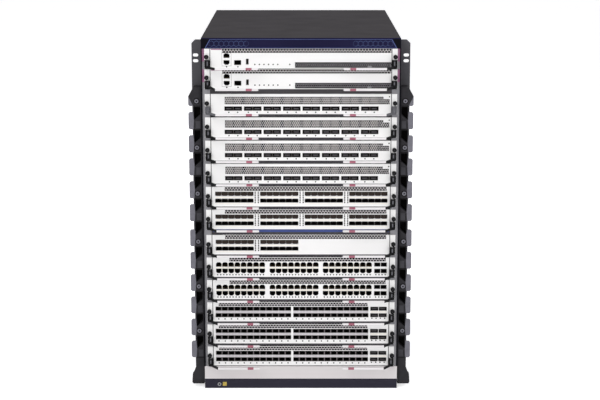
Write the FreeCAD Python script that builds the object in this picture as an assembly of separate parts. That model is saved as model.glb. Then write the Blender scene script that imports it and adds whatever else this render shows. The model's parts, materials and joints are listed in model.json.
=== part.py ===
import FreeCAD, Part
import os

# Modular chassis switch for a 19-inch rack, 18 rack units tall.
# Millimetres, +Z up, the front of the chassis faces -Y, +X is to the right of a
# person who looks at the front. The origin is the centre of the bounding box's base.

# ---------------------------------------------------------------- case
chassis_width = 436.0
chassis_depth = 660.0
case_sheet = 2.0             # folded steel of the case
seat_gap = 0.3               # clearance between pieces that seat on each other
bezel_height = 22.0
bezel_depth = 12.0
bezel_wall = 2.5
base_band_height = 22.0
lower_panel_height = 30.0
front_flange_width = 17.0    # flanges that the cards screw to, inside the case's walls
front_flange_sheet = 2.0
rear_flange_width = 11.0
divider_gap = 0.6            # above and below each front divider bar
jack_inset = 33.0            # from the side of the case to the wrist-strap jack
jack_rise = 10.0
jack_radius = 4.5
jack_bore = 2.1
jack_proud = 2.0
jack_bore_depth = 11.0

# ---------------------------------------------------------------- cards
control_cards = 2
line_cards_upper = 6
line_cards_lower = 6
control_face_height = 43.3
control_face_gap = 2.0       # between one control card's faceplate and the next
line_face_height = 44.5
line_face_gap = 7.4
first_card_gap = 0.2         # between the bezel and the first faceplate
control_to_line_gap = 10.9   # between the last control card and the first line card
middle_bar_height = 5.9      # extra height of the bar between the two line card banks
last_card_gap = 2.0          # between the last faceplate and the lower panel
faceplate_side_gap = 5.3     # between a faceplate and the case's wall
faceplate_sheet = 2.0
tray_flange_gap = 3.0        # between a card's tray and the front flange
tray_sheet = 1.2
tray_side_height = 9.0
board_thickness = 1.6
board_lift = 3.0             # standoff height of the board over the tray
board_side_gap = 6.0          # from the tray's outer face to the board
cage_depth = 46.0
cage_rim = 1.4                # cage material round the outermost ports
cage_fit = 0.2               # between a cage and its window in the faceplate
port_depth = 30.0
plug_block_depth = 22.0
plug_block_height = 17.0
plug_block_width = 86.0
plug_block_x = [-100.0, 100.0]
board_bar_x = [-150.0, 150.0]
board_bar_width = 8.0
heat_sink_height = 20.0
heat_sink_length = 110.0
heat_sink_half = 90.0
heat_sink_setback = 150.0    # from the faceplate to the heat sinks

# ---------------------------------------------------------------- room for the captive screws
screw_room = 7.0             # from a screw's axis down to the lever bracket below it
control_screw_drop = 17.5    # top of the faceplate down to the screw's axis
line_screw_drop = 20.0

# ---------------------------------------------------------------- ejector levers
hinge_inset = 7.2            # from the faceplate's end to the hinge axis
hinge_reach = 6.6            # hinge axis in front of the faceplate
hinge_rise = 1.0             # bottom of the bracket above the faceplate's bottom
hinge_hub_half = 3.6         # the hub fills the bracket round its pivot
hinge_hub_bevel = 1.5
hinge_plate = 1.2
hinge_plate_half_width = 5.4
hinge_plate_reach = 4.2      # bracket plate in front of the hinge axis
hinge_run_gap = 0.3
lever_arm_run = 17.5         # from the hinge axis to the elbow, along the face
lever_bar_length = 93.6
lever_bar_rise = 0.4         # bottom of the handle bar above the faceplate's bottom
lever_bar_reach = 33.0       # front of the handle bar in front of the faceplate
lever_bar_depth = 5.0
lever_bar_height = 4.6
lever_arm_depth = 5.6
lever_arm_height = 7.0        # where the arm leaves the hub
lever_tip_bevel = 1.6

# ---------------------------------------------------------------- card guides and backplane
shelf_sheet = 1.2
guide_lip_height = 6.0
guide_lip_width = 2.0
backplane_thickness = 4.0
header_depth = 12.0
plenum_depth = 23.7          # between the backplane and the power modules

# ---------------------------------------------------------------- rack ears and cable guides
ear_reach = 23.3             # ear's edge past the case: 482.6 over both ears
ear_slot_reach = 14.55       # slots' middle past the case: 465.1 between the columns
ear_setback = 45.0
ear_sheet = 2.0
ear_side_depth = 60.0
ear_top_drop = 7.0
ear_foot = 9.0
ear_corner = 8.0
slot_length = 12.0
slot_height = 7.0
rack_unit = 44.45
rack_units_between_slots = 16
upper_slot_drop = 41.5
slot_pair_pitch = 12.7
guide_gap = 1.4              # between a cable guide and the case
guide_width = 17.6
guide_tab_reach = 10.5       # tabs past the guide's rail
guide_setback = 8.0
guide_tab_sheet = 4.0
guide_tab_height = 38.5
guide_tab_corner = 3.0
guide_tab_rise = 10.5        # top of a tab above its line card's top
guide_top_rise = 13.0
first_tab_drop = 6.4         # top of the first tab under its line card's top
recess_depth = 24.0
recess_rim = 1.6
recess_inner_fall = 17.6     # a recess's height at its side near the case
recess_outer_fall = 29.9

# ---------------------------------------------------------------- rear modules
power_bay_height = 110.0
power_depth = 220.0
bay_sheet = 2.0
fan_trays = 2
fans_per_tray = 2
fan_wall_gap = 5.0           # between a fan's mouth and the tray's wall or the next mouth's half
fan_tip_gap = 3.0
fan_hub_radius = 32.0
fan_blades = 5
fan_blade_thickness = 3.0
fan_blade_sweep = 18.0       # half of a blade's run round the hub
fan_blade_inset = 8.0
fan_blade_root = 4.0         # depth of the blade's root inside the hub
fan_rotor_setback = 14.0
fan_tip_trim = 2.0           # lets a blade's square corners clear the mouth
fan_motor_cup = 10.0         # motor cup in front of the struts
fan_strut_overlap = 3.0      # struts on the plate past the mouth
fan_strut_depth = 6.0
fan_strut_half = 6.0
fan_tray_depth = 96.0
fan_tray_sheet = 1.6
module_plate = 2.5
handle_reach = 33.0
handle_bar = 8.0
handle_width = 14.0
handle_span = 120.0
power_handle_offset = 30.0   # from the middle of the power module
power_handle_span = 80.0
power_mouth_offset = -30.0
power_mouth_radius = 42.0
power_mouth_depth = 16.0
inlet_width = 31.0
inlet_height = 24.0
inlet_recess = 20.0
inlet_pin_length = 14.0
inlet_side_gap = 21.5        # from the inlet to the case's wall
inlet_rise = 26.0            # from the bottom of the power module
inlet_pin_half = (1.0, 3.5)
inlet_pins = [(-7.0, 0.0), (7.0, 0.0), (0.0, 5.0)]

# ---------------------------------------------------------------- worked out from the sizes above
half_width = chassis_width / 2
front = -chassis_depth / 2 + (lever_bar_reach - handle_reach) / 2
rear = front + chassis_depth
inner_half = half_width - case_sheet
front_flange_inner = inner_half - front_flange_width
rear_flange_inner = inner_half - rear_flange_width
flange_front = front + faceplate_sheet + seat_gap
flange_back = flange_front + front_flange_sheet
lower_panel_top = base_band_height + lower_panel_height
power_bay_top = base_band_height + power_bay_height
card_depth = chassis_depth - power_depth - plenum_depth - backplane_thickness - seat_gap - header_depth
backplane_front = front + card_depth + header_depth + seat_gap
faceplate_half_width = inner_half - faceplate_side_gap
tray_half_width = front_flange_inner - tray_flange_gap
board_half_width = tray_half_width - board_side_gap
hinge_x = faceplate_half_width - hinge_inset
hinge_y = front - hinge_reach
lever_elbow_x = hinge_x - lever_arm_run
lever_tip_x = lever_elbow_x - lever_bar_length
lever_bar_front = front - lever_bar_reach
lever_bar_back = lever_bar_front + lever_bar_depth
rack_width = 2 * (half_width + ear_reach)
rack_half_spacing = half_width + ear_slot_reach
guide_inner = half_width + guide_gap
guide_outer = guide_inner + guide_width
guide_tab_outer = guide_outer + guide_tab_reach


def box(x0, x1, y0, y1, z0, z1):
    corner = FreeCAD.Vector(min(x0, x1), y0, z0)
    return Part.makeBox(abs(x1 - x0), y1 - y0, z1 - z0, corner)


def prism(points, direction):
    """Extrude a closed outline of 3-D points along a vector."""
    outline = [FreeCAD.Vector(*point) for point in points]
    wire = Part.makePolygon(outline + [outline[0]])
    return Part.Face(wire).extrude(FreeCAD.Vector(*direction))


def rod_z(x, y, radius, z0, z1):
    return Part.makeCylinder(radius, z1 - z0, FreeCAD.Vector(x, y, z0), FreeCAD.Vector(0, 0, 1))


def rod_y(x, z, radius, y0, y1):
    return Part.makeCylinder(radius, y1 - y0, FreeCAD.Vector(x, y0, z), FreeCAD.Vector(0, 1, 0))


def mirror_x(shape):
    return shape.mirror(FreeCAD.Vector(0, 0, 0), FreeCAD.Vector(1, 0, 0))


def fused(shapes):
    solid = shapes[0].multiFuse(shapes[1:]).removeSplitter()
    return solid


def save(name, solids):
    shape = solids[0] if len(solids) == 1 else Part.makeCompound(solids)
    shape.exportStep("parts/" + name + ".step")


# ---------------------------------------------------------------- slot table
def stacked_tops(first_top, count, face_height, gap):
    """Tops of a bank of faceplates, from the highest down."""
    return [first_top - k * (face_height + gap) for k in range(count)]


def bank_height(count, face_height, gap):
    return count * face_height + (count - 1) * gap


lower_line_top = lower_panel_top + last_card_gap + bank_height(line_cards_lower, line_face_height, line_face_gap)
upper_line_foot = lower_line_top + line_face_gap + middle_bar_height
upper_line_top = upper_line_foot + bank_height(line_cards_upper, line_face_height, line_face_gap)
control_foot = upper_line_top + control_to_line_gap
control_top = control_foot + bank_height(control_cards, control_face_height, control_face_gap)
bezel_foot = control_top + first_card_gap
chassis_height = bezel_foot + bezel_height
control_tops = stacked_tops(control_top, control_cards, control_face_height, control_face_gap)
line_tops = (stacked_tops(upper_line_top, line_cards_upper, line_face_height, line_face_gap)
             + stacked_tops(lower_line_top, line_cards_lower, line_face_height, line_face_gap))
face_bottoms = ([top - control_face_height for top in control_tops]
                + [top - line_face_height for top in line_tops])


# ---------------------------------------------------------------- case
def front_divider(z0, z1):
    return box(-inner_half, inner_half, flange_front, flange_back, z0 + divider_gap, z1 - divider_gap)


def chassis_shell():
    outer = box(-half_width, half_width, front, rear, 0, chassis_height)
    hollow = box(-inner_half, inner_half, front - 1, rear + 1, case_sheet, chassis_height - case_sheet)
    shell = outer.cut(hollow)
    bezel_room = box(-half_width, half_width, front - 1, front + bezel_depth + seat_gap,
                     bezel_foot - seat_gap, chassis_height)
    band_room = box(-half_width, half_width, front - 1, front + bezel_depth + seat_gap,
                    0, lower_panel_top + seat_gap)
    shell = shell.cut(bezel_room).cut(band_room)
    header_front = front + bezel_depth + seat_gap
    header_back = header_front + case_sheet
    pieces = [
        shell,
        box(-inner_half, inner_half, header_front, header_back, bezel_foot, chassis_height - case_sheet),
        box(-inner_half, inner_half, header_front, header_back, case_sheet, lower_panel_top),
        front_divider(upper_line_top, control_foot),
        front_divider(lower_line_top, upper_line_foot),
    ]
    for side in (-1, 1):
        pieces.append(box(side * front_flange_inner, side * inner_half, flange_front, flange_back,
                          lower_panel_top + seat_gap, bezel_foot - seat_gap))
        pieces.append(box(side * rear_flange_inner, side * inner_half,
                          rear - module_plate - seat_gap - case_sheet, rear - module_plate - seat_gap,
                          case_sheet, chassis_height - case_sheet))
    pieces.append(box(-inner_half, inner_half, rear - power_depth, rear - module_plate - seat_gap,
                      power_bay_top, power_bay_top + bay_sheet))
    pieces.append(box(-bay_sheet / 2, bay_sheet / 2, rear - power_depth, rear - module_plate - seat_gap,
                      case_sheet, power_bay_top))
    return [fused(pieces)]


def front_bezel():
    """Moulded cover: a front skin with a rim that runs back all round."""
    cover = box(-half_width, half_width, front, front + bezel_depth, bezel_foot, chassis_height)
    edges = [e for e in cover.Edges if abs(e.tangentAt(e.FirstParameter).z) > 0.5
             and e.BoundBox.YMax < front + 1]
    cover = cover.makeChamfer(bezel_wall, edges)
    room = box(-half_width + bezel_wall, half_width - bezel_wall, front + bezel_wall, front + bezel_depth + 1,
               bezel_foot + bezel_wall, chassis_height - bezel_wall)
    return [cover.cut(room)]


def lower_front_panel():
    """Folded sheet: a face with two returns that seat on the case."""
    z0 = base_band_height + seat_gap
    z1 = lower_panel_top
    back = front + bezel_depth
    sheet = case_sheet
    outline = [(-half_width, front, z0), (-half_width, back, z0), (-half_width, back, z0 + sheet),
               (-half_width, front + sheet, z0 + sheet), (-half_width, front + sheet, z1 - sheet),
               (-half_width, back, z1 - sheet), (-half_width, back, z1), (-half_width, front, z1)]
    return [prism(outline, (chassis_width, 0, 0))]


def base_band():
    """Plinth rail under the lower panel, with the raised ring of the wrist-strap jack."""
    back = front + bezel_depth
    band = box(-half_width, half_width, front, back, 0, base_band_height)
    room = box(-half_width + bezel_wall, half_width - bezel_wall, front + bezel_wall, back + 1,
               bezel_wall, base_band_height - bezel_wall)
    jack_x = -half_width + jack_inset
    ring = rod_y(jack_x, jack_rise, jack_radius, front - jack_proud, back - bezel_wall / 2)
    bore = rod_y(jack_x, jack_rise, jack_bore, front - jack_proud - 1, front - jack_proud + jack_bore_depth)
    return [fused([band.cut(room), ring]).cut(bore)]


def shelf_under(face_bottom):
    """Card shelf: a sheet whose two upstands keep the card's tray in line."""
    top = face_bottom - seat_gap
    lip_in = tray_half_width + seat_gap
    lip_out = lip_in + guide_lip_width
    edge = inner_half - seat_gap
    lip_top = top + guide_lip_height
    y0 = flange_back + seat_gap
    half = [(edge, top - shelf_sheet), (edge, top), (lip_out, top), (lip_out, lip_top),
            (lip_in, lip_top), (lip_in, top)]
    right = [(x, y0, z) for x, z in half]
    left = [(-x, y0, z) for x, z in reversed(half)]
    return prism(right + left, (0, backplane_front - seat_gap - y0, 0))


def card_guides():
    return [shelf_under(bottom) for bottom in face_bottoms]


def board_top(face_bottom):
    return face_bottom + tray_sheet + board_lift + board_thickness


def backplane():
    edge = inner_half - seat_gap
    board = box(-edge, edge, backplane_front, backplane_front + backplane_thickness,
                lower_panel_top, bezel_foot)
    solids = [board]
    for bottom in face_bottoms:
        z0 = board_top(bottom)
        for x in plug_block_x:
            solids.append(box(x - plug_block_width / 2, x + plug_block_width / 2,
                              backplane_front - header_depth, backplane_front, z0, z0 + plug_block_height))
    return solids


# ---------------------------------------------------------------- cards
class Ports:
    """One block of cages: its place on the face and the rows of ports in it.

    left and right are measured from the middle of the face, and each row is a pair
    of drops below the top of the face.
    """

    def __init__(self, left, right, rows):
        self.left = left
        self.right = right
        self.rows = rows


def control_ports():
    return [
        Ports(-168.6, -155.6, [(10.0, 20.0), (25.2, 35.1)]),
        Ports(-145.5, -130.3, [(25.0, 35.5)]),
        Ports(-119.7, -113.9, [(22.0, 34.5)]),
    ]


def wide_port_row():
    """Two banks of four double ports each."""
    return [Ports(-167.7, -0.8, [(27.4, 37.0)]), Ports(3.5, 170.4, [(27.4, 37.0)])]


def small_port_groups(count):
    lefts = [-190.1, -90.6, 8.4, 107.0]
    width = 85.0
    return [Ports(left, left + width, [(10.9, 20.6), (26.5, 35.6)]) for left in lefts[:count]]


def copper_port_groups():
    lefts = [-189.9, -70.0, 49.2]
    width = 109.5
    groups = [Ports(left, left + width, [(11.3, 20.6), (25.8, 35.8)]) for left in lefts]
    return groups + [Ports(164.3, 192.3, [(11.3, 20.6), (25.8, 35.8)])]


def dense_port_groups():
    rows = [(10.4, 19.3), (25.6, 34.5)]
    return [Ports(-192.1, -22.1, rows), Ports(-17.1, 152.0, rows), Ports(156.3, 193.2, rows)]


line_ports = ([wide_port_row()] * 4 + [small_port_groups(4)] * 2 + [small_port_groups(2)]
              + [copper_port_groups()] * 2 + [dense_port_groups()] * 3)


def cage_reach(groups, face_top, margin):
    """Corners of the outline round every port of a card, grown by a margin."""
    left = min(ports.left for ports in groups) - margin
    right = max(ports.right for ports in groups) + margin
    low = face_top - max(drop for ports in groups for _, drop in ports.rows) - margin
    high = face_top - min(drop for ports in groups for drop, _ in ports.rows) + margin
    return left, right, low, high


def cage_block(groups, face_top, board):
    """Cages of a card in one frame: it stands on the board and reaches through the faceplate."""
    left, right, low, high = cage_reach(groups, face_top, cage_rim)
    behind = front + faceplate_sheet + cage_fit
    outline = [(left, front, low), (left, front, high), (left, front + cage_depth, high),
               (left, front + cage_depth, board), (left, behind, board), (left, behind, low)]
    block = prism(outline, (right - left, 0, 0))
    for ports in groups:
        for drop_top, drop_bottom in ports.rows:
            block = block.cut(box(ports.left, ports.right, front - 1, front + port_depth,
                                  face_top - drop_bottom, face_top - drop_top))
    return block


def faceplate(face_top, face_height, groups):
    plate = box(-faceplate_half_width, faceplate_half_width, front, front + faceplate_sheet,
                face_top - face_height, face_top)
    left, right, low, high = cage_reach(groups, face_top, cage_rim + cage_fit)
    return plate.cut(box(left, right, front - 1, front + faceplate_sheet + 1, low, high))


def tray(bottom):
    """Folded tray under the board."""
    y0 = front + faceplate_sheet
    y1 = front + card_depth - plug_block_depth
    outer = tray_half_width
    inner = outer - tray_sheet
    top = bottom + tray_side_height
    outline = [(-outer, y0, bottom), (outer, y0, bottom), (outer, y0, top), (inner, y0, top),
               (inner, y0, bottom + tray_sheet), (-inner, y0, bottom + tray_sheet),
               (-inner, y0, top), (-outer, y0, top)]
    return prism(outline, (0, y1 - y0, 0))


def hinge_span(face_top, face_height, screw_drop):
    """Bottom and top of the lever bracket: it stands under the captive screw."""
    return face_top - face_height + hinge_rise, face_top - screw_drop - screw_room


def hinge_bracket(z0, z1):
    """Folded bracket on the faceplate: two plates joined by a web, open to the front."""
    x0 = hinge_x - hinge_plate_half_width
    y0 = hinge_y - hinge_plate_reach
    web = front - hinge_plate
    outline = [(front, z0), (y0, z0), (y0, z0 + hinge_plate), (web, z0 + hinge_plate),
               (web, z1 - hinge_plate), (y0, z1 - hinge_plate), (y0, z1), (front, z1)]
    return prism([(x0, y, z) for y, z in outline], (2 * hinge_plate_half_width, 0, 0))


def card(face_top, face_height, screw_drop, groups):
    bottom = face_top - face_height
    board = board_top(bottom)
    bracket = hinge_bracket(*hinge_span(face_top, face_height, screw_drop))
    y0 = front + faceplate_sheet
    y1 = front + card_depth
    solids = [faceplate(face_top, face_height, groups), tray(bottom)]
    solids += [bracket, mirror_x(bracket)]
    solids.append(cage_block(groups, face_top, board))
    solids.append(box(-board_half_width, board_half_width, y0, y1 - plug_block_depth / 2,
                      board - board_thickness, board))
    sink = front + heat_sink_setback
    for x in plug_block_x:
        half = plug_block_width / 2
        solids.append(box(x - half, x + half, y1 - plug_block_depth, y1, board, board + plug_block_height))
    solids.append(box(-heat_sink_half, heat_sink_half, sink, sink + heat_sink_length,
                      board, board + heat_sink_height))
    for x in board_bar_x:
        half = board_bar_width / 2
        solids.append(box(x - half, x + half, y0, y1 - plug_block_depth,
                          bottom + tray_sheet, board - board_thickness))
    return solids


# ---------------------------------------------------------------- ejector levers
def lever(face_top, face_height, screw_drop):
    """Right-hand lever: tall hub between the bracket's plates, low oblique arm and long handle bar."""
    bracket_low, bracket_high = hinge_span(face_top, face_height, screw_drop)
    hub_low = bracket_low + hinge_plate + hinge_run_gap
    hub_high = bracket_high - hinge_plate - hinge_run_gap
    bar_low = face_top - face_height + lever_bar_rise
    bar_high = bar_low + lever_bar_height
    arm_half = lever_arm_depth / 2
    low = min(hub_low, bar_low)
    plan = [(hinge_x, hinge_y - arm_half, low), (lever_elbow_x, lever_bar_front, low),
            (lever_elbow_x, lever_bar_back, low), (hinge_x, hinge_y + arm_half, low)]
    arm_high = min(hub_low + lever_arm_height, hub_high)
    shoulder = hinge_x - hinge_plate_half_width - hinge_run_gap
    side = [(hinge_x, lever_bar_front, hub_low), (hinge_x, lever_bar_front, arm_high),
            (shoulder, lever_bar_front, arm_high), (lever_elbow_x, lever_bar_front, bar_high),
            (lever_elbow_x, lever_bar_front, bar_low), (shoulder, lever_bar_front, hub_low)]
    arm = prism(plan, (0, 0, hub_high - low)).common(prism(side, (0, lever_bar_reach, 0)))
    half = hinge_hub_half
    near = half - hinge_hub_bevel
    octagon = [(-half, -near), (-near, -half), (near, -half), (half, -near),
               (half, near), (near, half), (-near, half), (-half, near)]
    hub = prism([(hinge_x + x, hinge_y + y, hub_low) for x, y in octagon], (0, 0, hub_high - hub_low))
    bevel = lever_tip_bevel
    bar = prism([(lever_elbow_x, lever_bar_front, bar_low), (lever_elbow_x, lever_bar_back, bar_low),
                 (lever_tip_x + bevel, lever_bar_back, bar_low),
                 (lever_tip_x, lever_bar_back - bevel, bar_low),
                 (lever_tip_x, lever_bar_front + bevel, bar_low),
                 (lever_tip_x + bevel, lever_bar_front, bar_low)], (0, 0, lever_bar_height))
    return fused([arm, hub, bar])


def save_card(name, face_top, face_height, screw_drop, groups):
    save(name, card(face_top, face_height, screw_drop, groups))
    right = lever(face_top, face_height, screw_drop)
    save(name + "_lever_right", [right])
    save(name + "_lever_left", [mirror_x(right)])


# ---------------------------------------------------------------- rack ears
def rack_slot(x, z):
    """Obround hole through the ear, longer across than up."""
    radius = slot_height / 2
    run = slot_length / 2 - radius
    y0 = front + ear_setback - 1
    y1 = front + ear_setback + ear_sheet + 1
    middle = box(x - run, x + run, y0, y1, z - radius, z + radius)
    ends = [rod_y(x + sign * run, z, radius, y0, y1) for sign in (-1, 1)]
    return fused([middle] + ends)


def rack_ear():
    y0 = front + ear_setback
    y1 = y0 + ear_sheet
    z1 = chassis_height - ear_top_drop
    edge = rack_width / 2
    face = [(half_width, y0, ear_foot), (edge, y0, ear_foot), (edge, y0, z1 - ear_corner),
            (edge - ear_corner, y0, z1), (half_width, y0, z1)]
    ear = prism(face, (0, ear_sheet, 0))
    side = box(half_width, half_width + ear_sheet, y0, y0 + ear_side_depth, ear_foot, z1)
    ear = fused([ear, side])
    high = chassis_height - upper_slot_drop
    for z in (high, high - slot_pair_pitch):
        for drop in (0, rack_units_between_slots * rack_unit):
            ear = ear.cut(rack_slot(rack_half_spacing, z - drop))
    return ear


# ---------------------------------------------------------------- cable guides
def cable_guide():
    """Moulded rail in front of the ear: a slanting recess and a tab at each line card.

    The first tab's upper edge slopes back to the rail's top.
    """
    y0 = front + guide_setback
    y1 = front + ear_setback
    top = upper_line_top + guide_top_rise
    rail = [(guide_inner, y0, lower_panel_top), (guide_outer, y0, lower_panel_top),
            (guide_outer, y0, top), (guide_inner, y0, top)]
    solids = [prism(rail, (0, y1 - y0, 0))]
    for k, face_top in enumerate(line_tops):
        high = face_top + guide_tab_rise
        low = high - guide_tab_height
        corner = guide_tab_corner
        tab = [(guide_outer, y0, low), (guide_tab_outer - corner, y0, low), (guide_tab_outer, y0, low + corner)]
        if k == 0:
            tab += [(guide_tab_outer, y0, face_top - first_tab_drop), (guide_outer, y0, top)]
        else:
            tab += [(guide_tab_outer, y0, high - corner), (guide_tab_outer - corner, y0, high),
                    (guide_outer, y0, high)]
        solids.append(prism(tab, (0, guide_tab_sheet, 0)))
    guide = fused(solids)
    for face_top in line_tops:
        slit = face_top + guide_tab_rise - guide_tab_height
        high = slit - recess_rim
        x0 = guide_inner + recess_rim
        x1 = guide_outer - recess_rim
        if high - recess_outer_fall - recess_rim < lower_panel_top:
            continue
        hole = [(x0, y0 - 1, high), (x1, y0 - 1, high), (x1, y0 - 1, high - recess_outer_fall),
                (x0, y0 - 1, high - recess_inner_fall)]
        guide = guide.cut(prism(hole, (0, recess_depth + 1, 0)))
    return guide


# ---------------------------------------------------------------- rear modules
def handle(x, z, span, upright):
    """Bow handle: a bar on two posts, behind the module's plate."""
    half = span / 2
    deep = handle_width / 2
    if upright:
        outer = box(x - deep, x + deep, rear, rear + handle_reach, z - half, z + half)
        gap = box(x - deep - 1, x + deep + 1, rear - 1, rear + handle_reach - handle_bar,
                  z - half + handle_bar, z + half - handle_bar)
    else:
        outer = box(x - half, x + half, rear, rear + handle_reach, z - deep, z + deep)
        gap = box(x - half + handle_bar, x + half - handle_bar, rear - 1, rear + handle_reach - handle_bar,
                  z - deep - 1, z + deep + 1)
    return outer.cut(gap)


def fan_tray_heights():
    low = power_bay_top + bay_sheet + seat_gap
    high = chassis_height - case_sheet - seat_gap
    step = (high - low + seat_gap) / fan_trays
    return [(low + k * step, low + (k + 1) * step - seat_gap) for k in range(fan_trays)]


def fan_room():
    """Width that each fan has between the walls of its tray."""
    return 2 * (rear_flange_inner - seat_gap - fan_tray_sheet) / fans_per_tray


def fan_mouth_radius(z0, z1):
    return min(fan_room(), z1 - z0 - 2 * fan_tray_sheet) / 2 - fan_wall_gap


def fan_centres(z0, z1):
    first = -fan_room() * (fans_per_tray - 1) / 2
    return [(first + k * fan_room(), (z0 + z1) / 2) for k in range(fans_per_tray)]


def fan_tray(z0, z1):
    """Rear plate, a folded box round the fans, and the struts and motor cup behind each rotor."""
    plate_front = rear - module_plate
    box_front = rear - fan_tray_depth
    edge = inner_half - seat_gap
    box_edge = rear_flange_inner - seat_gap
    sheet = fan_tray_sheet
    plate = box(-edge, edge, plate_front, rear, z0, z1)
    frame = box(-box_edge, box_edge, box_front, plate_front, z0, z1)
    room = box(-box_edge + sheet, box_edge - sheet, box_front - 1, plate_front, z0 + sheet, z1 - sheet)
    body = plate.fuse(frame.cut(room)).removeSplitter()
    strut_front = plate_front - fan_strut_depth
    half = fan_strut_half
    mouth_radius = fan_mouth_radius(z0, z1)
    reach = mouth_radius + fan_strut_overlap
    pieces = []
    for x, z in fan_centres(z0, z1):
        mouth = rod_y(x, z, mouth_radius, plate_front - 1, rear + 1)
        body = body.cut(mouth)
        pieces.append(box(x - reach, x + reach, strut_front, plate_front, z - half, z + half))
        pieces.append(box(x - half, x + half, strut_front, plate_front, z - reach, z + reach))
        pieces.append(rod_y(x, z, fan_hub_radius, strut_front - fan_motor_cup, plate_front))
    pieces.append(handle(0, (z0 + z1) / 2, handle_span, True))
    return [fused([body] + pieces)]


def blade(x, z, radius, angle, y0, y1):
    """One pitched blade, square-ended, from inside the hub to the tip."""
    root = x + fan_hub_radius - fan_blade_root
    outline = [(root, y0, z - fan_blade_sweep), (root, y0 + fan_blade_thickness, z - fan_blade_sweep),
               (root, y1, z + fan_blade_sweep), (root, y1 - fan_blade_thickness, z + fan_blade_sweep)]
    vane = prism(outline, (x + radius - root, 0, 0))
    vane.rotate(FreeCAD.Vector(x, 0, z), FreeCAD.Vector(0, 1, 0), angle)
    return vane


def fan_rotor(x, z, radius):
    """Hub with pitched blades: it turns just in front of the tray's motor cup."""
    y0 = rear - fan_tray_depth + fan_rotor_setback
    y1 = rear - module_plate - fan_strut_depth - fan_motor_cup - seat_gap
    hub = rod_y(x, z, fan_hub_radius, y0, y1)
    blades = [blade(x, z, radius, k * 360.0 / fan_blades, y0 + fan_blade_inset, y1 - fan_blade_inset)
              for k in range(fan_blades)]
    return fused([hub] + blades)


def power_middle():
    return (bay_sheet / 2 + seat_gap + inner_half - seat_gap) / 2


def power_supply(side):
    """Power module: closed case, mains inlet with three blades, fan mouth and bow handle."""
    x0 = bay_sheet / 2 + seat_gap
    z0 = case_sheet + seat_gap
    z1 = power_bay_top - seat_gap
    middle = power_middle()
    plate_front = rear - module_plate
    plate = box(x0, inner_half - seat_gap, plate_front, rear, z0, z1)
    case = box(x0, rear_flange_inner - seat_gap, rear - power_depth + seat_gap, plate_front, z0, z1)
    inlet_x = inner_half - inlet_side_gap - inlet_width / 2
    inlet_z = z0 + inlet_rise
    socket = box(inlet_x - inlet_width / 2, inlet_x + inlet_width / 2, rear - inlet_recess, rear + 1,
                 inlet_z - inlet_height / 2, inlet_z + inlet_height / 2)
    mouth = rod_y(middle + power_mouth_offset, (z0 + z1) / 2, power_mouth_radius,
                  rear - power_mouth_depth, rear + 1)
    pieces = [plate.fuse(case).cut(socket).cut(mouth)]
    pin_x, pin_z = inlet_pin_half
    for dx, dz in inlet_pins:
        pieces.append(box(inlet_x + dx - pin_x, inlet_x + dx + pin_x, rear - inlet_recess,
                          rear - inlet_recess + inlet_pin_length,
                          inlet_z + dz - pin_z, inlet_z + dz + pin_z))
    pieces.append(handle(middle + power_handle_offset, (z0 + z1) / 2, power_handle_span, True))
    module = fused(pieces)
    return [module if side > 0 else mirror_x(module)]


# ---------------------------------------------------------------- build
def main():
    os.makedirs("parts", exist_ok=True)
    save("chassis_shell", chassis_shell())
    save("front_bezel", front_bezel())
    save("lower_front_panel", lower_front_panel())
    save("base_band", base_band())
    save("card_guides", card_guides())
    save("backplane", backplane())
    for k, top in enumerate(control_tops):
        save_card("control_card_%d" % (k + 1), top, control_face_height, control_screw_drop, control_ports())
    for k, top in enumerate(line_tops):
        save_card("line_card_%02d" % (k + 1), top, line_face_height, line_screw_drop, line_ports[k])
    ear = rack_ear()
    save("rack_ear_right", [ear])
    save("rack_ear_left", [mirror_x(ear)])
    guide = cable_guide()
    save("cable_guide_right", [guide])
    save("cable_guide_left", [mirror_x(guide)])
    number = 0
    for k, (z0, z1) in enumerate(fan_tray_heights()):
        save("fan_tray_%d" % (k + 1), fan_tray(z0, z1))
        tip_radius = fan_mouth_radius(z0, z1) - fan_tip_gap - fan_tip_trim
        for x, z in fan_centres(z0, z1):
            number += 1
            save("fan_rotor_%d" % number, [fan_rotor(x, z, tip_radius)])
    save("power_supply_right", power_supply(1))
    save("power_supply_left", power_supply(-1))


main()
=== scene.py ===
"""Looks of a modular chassis switch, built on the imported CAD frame.

Lengths are in millimetres until a mesh is made. +X is the right of the front, -Y is the front, +Z is up.
"""
import json
import math

import bmesh
import bpy
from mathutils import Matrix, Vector


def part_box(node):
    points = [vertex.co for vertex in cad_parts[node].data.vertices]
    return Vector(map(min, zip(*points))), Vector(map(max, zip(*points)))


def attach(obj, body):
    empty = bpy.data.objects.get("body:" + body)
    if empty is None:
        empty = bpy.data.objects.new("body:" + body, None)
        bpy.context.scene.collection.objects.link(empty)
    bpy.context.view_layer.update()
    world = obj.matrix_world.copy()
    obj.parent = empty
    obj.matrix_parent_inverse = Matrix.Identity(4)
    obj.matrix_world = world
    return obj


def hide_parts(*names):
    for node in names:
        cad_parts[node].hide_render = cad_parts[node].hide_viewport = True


MM = 0.001
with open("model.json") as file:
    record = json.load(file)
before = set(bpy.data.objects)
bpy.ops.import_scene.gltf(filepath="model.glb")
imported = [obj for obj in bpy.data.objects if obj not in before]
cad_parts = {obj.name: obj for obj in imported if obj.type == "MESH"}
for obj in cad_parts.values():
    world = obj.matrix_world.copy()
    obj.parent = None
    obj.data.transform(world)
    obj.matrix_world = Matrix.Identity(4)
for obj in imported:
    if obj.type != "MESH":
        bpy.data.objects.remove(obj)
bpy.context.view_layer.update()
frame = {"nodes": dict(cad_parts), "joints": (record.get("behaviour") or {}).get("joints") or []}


# ---------------------------------------------------------------- sizes read from the frame
def node_box(name):
    """Lowest and highest corners of a CAD node, in millimetres."""
    low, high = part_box(name)
    return low / MM, high / MM


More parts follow.
